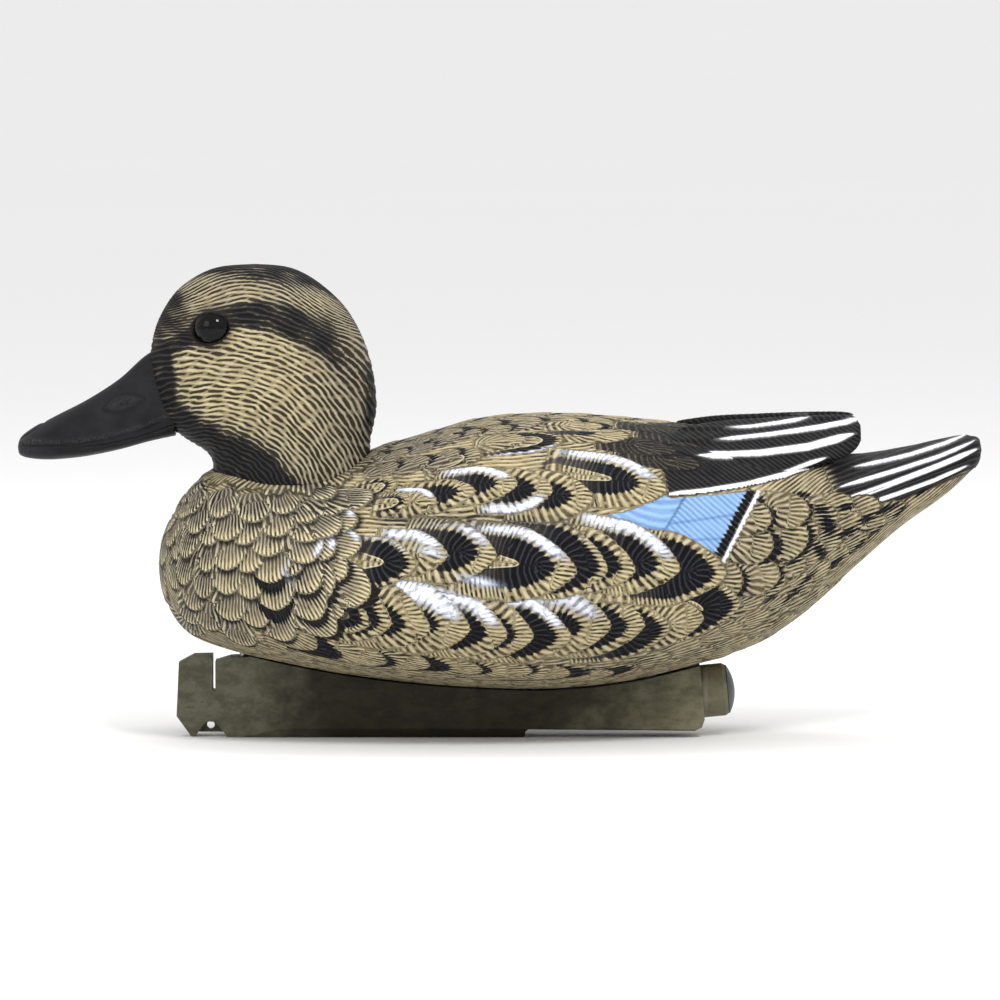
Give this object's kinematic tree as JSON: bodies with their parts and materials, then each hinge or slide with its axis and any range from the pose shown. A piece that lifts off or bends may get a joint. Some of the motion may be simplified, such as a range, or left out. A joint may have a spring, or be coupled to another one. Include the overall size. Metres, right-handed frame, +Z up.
{
  "type": "duck decoy",
  "caption": "Floating hen dabbling-duck decoy with moulded folded wings, a head that turns, and a weighted keel holding a battery ripple drive behind a screw plug.",
  "frame": {"origin": "centre of the decoy's overall length and width, at the height of the keel's flat base", "axes": "+Z up, the bill points along -X and the tail along +X, the decoy's left side is -Y"},
  "size_m": [0.42, 0.1674, 0.206],
  "materials": {
    "painted_hull": "matte airbrushed paint over moulded feathers",
    "painted_head": "matte airbrushed paint, black bill",
    "olive_keel": "matte mottled olive",
    "dark_moulding": "matte",
    "glossy_eye": "polished",
    "black_rubber": "matte",
    "black_cap": "satin",
    "ballast_iron": "as cast",
    "stainless": "satin",
    "contact_brass": "satin",
    "weight_brass": "machined",
    "lead_copper": "tinned copper",
    "cell_jacket": "printed sleeve, plain"
  },
  "bodies": {
    "hull": {"body_shell": "painted_hull", "neck_washer": "black_rubber", "keel_shell": "olive_keel", "ballast_bar": "ballast_iron", "ballast_cover": "olive_keel", "keel_screws": "stainless", "screw_seals": "black_rubber", "battery_front": "cell_jacket", "battery_rear": "cell_jacket", "front_contact": "contact_brass", "return_strip": "contact_brass", "motor_cradle": "dark_moulding", "motor_can": "stainless", "motor_leads": "lead_copper"},
    "head": {"head_shell": "painted_head", "neck_plug": "dark_moulding", "eye_left": "glossy_eye", "eye_right": "glossy_eye"},
    "rotor": {"rotor_shaft": "stainless", "eccentric_weight": "weight_brass"},
    "seal": {"plug_seal": "black_rubber"},
    "plug": {"end_plug": "black_cap", "plug_contact": "contact_brass", "contact_spring": "stainless"}
  },
  "joints": [
    {"name": "head_turn", "type": "hinge", "parent": "hull", "child": "head", "pos_m": [-0.0906, 0, 0.0936], "axis": [0, 0, 1], "range_deg": [-45, 45]},
    {"name": "motor_spin", "type": "hinge", "parent": "hull", "child": "rotor", "pos_m": [0.0989, 0, 0.0202], "axis": [0.9957, 0, 0.0924], "continuous": true},
    {"name": "plug_slide", "type": "slide", "parent": "hull", "child": "seal", "axis": [0.9957, 0, 0.0924], "range_m": [0, 0.012]},
    {"name": "plug_turn", "type": "hinge", "parent": "seal", "child": "plug", "pos_m": [0.0989, 0, 0.0202], "axis": [0.9957, 0, 0.0924], "range_deg": [0, 1081]}
  ],
  "couplings": [
    {"joint": "plug_turn", "follows": "plug_slide", "rad_per_m": 1570.8}
  ]
}
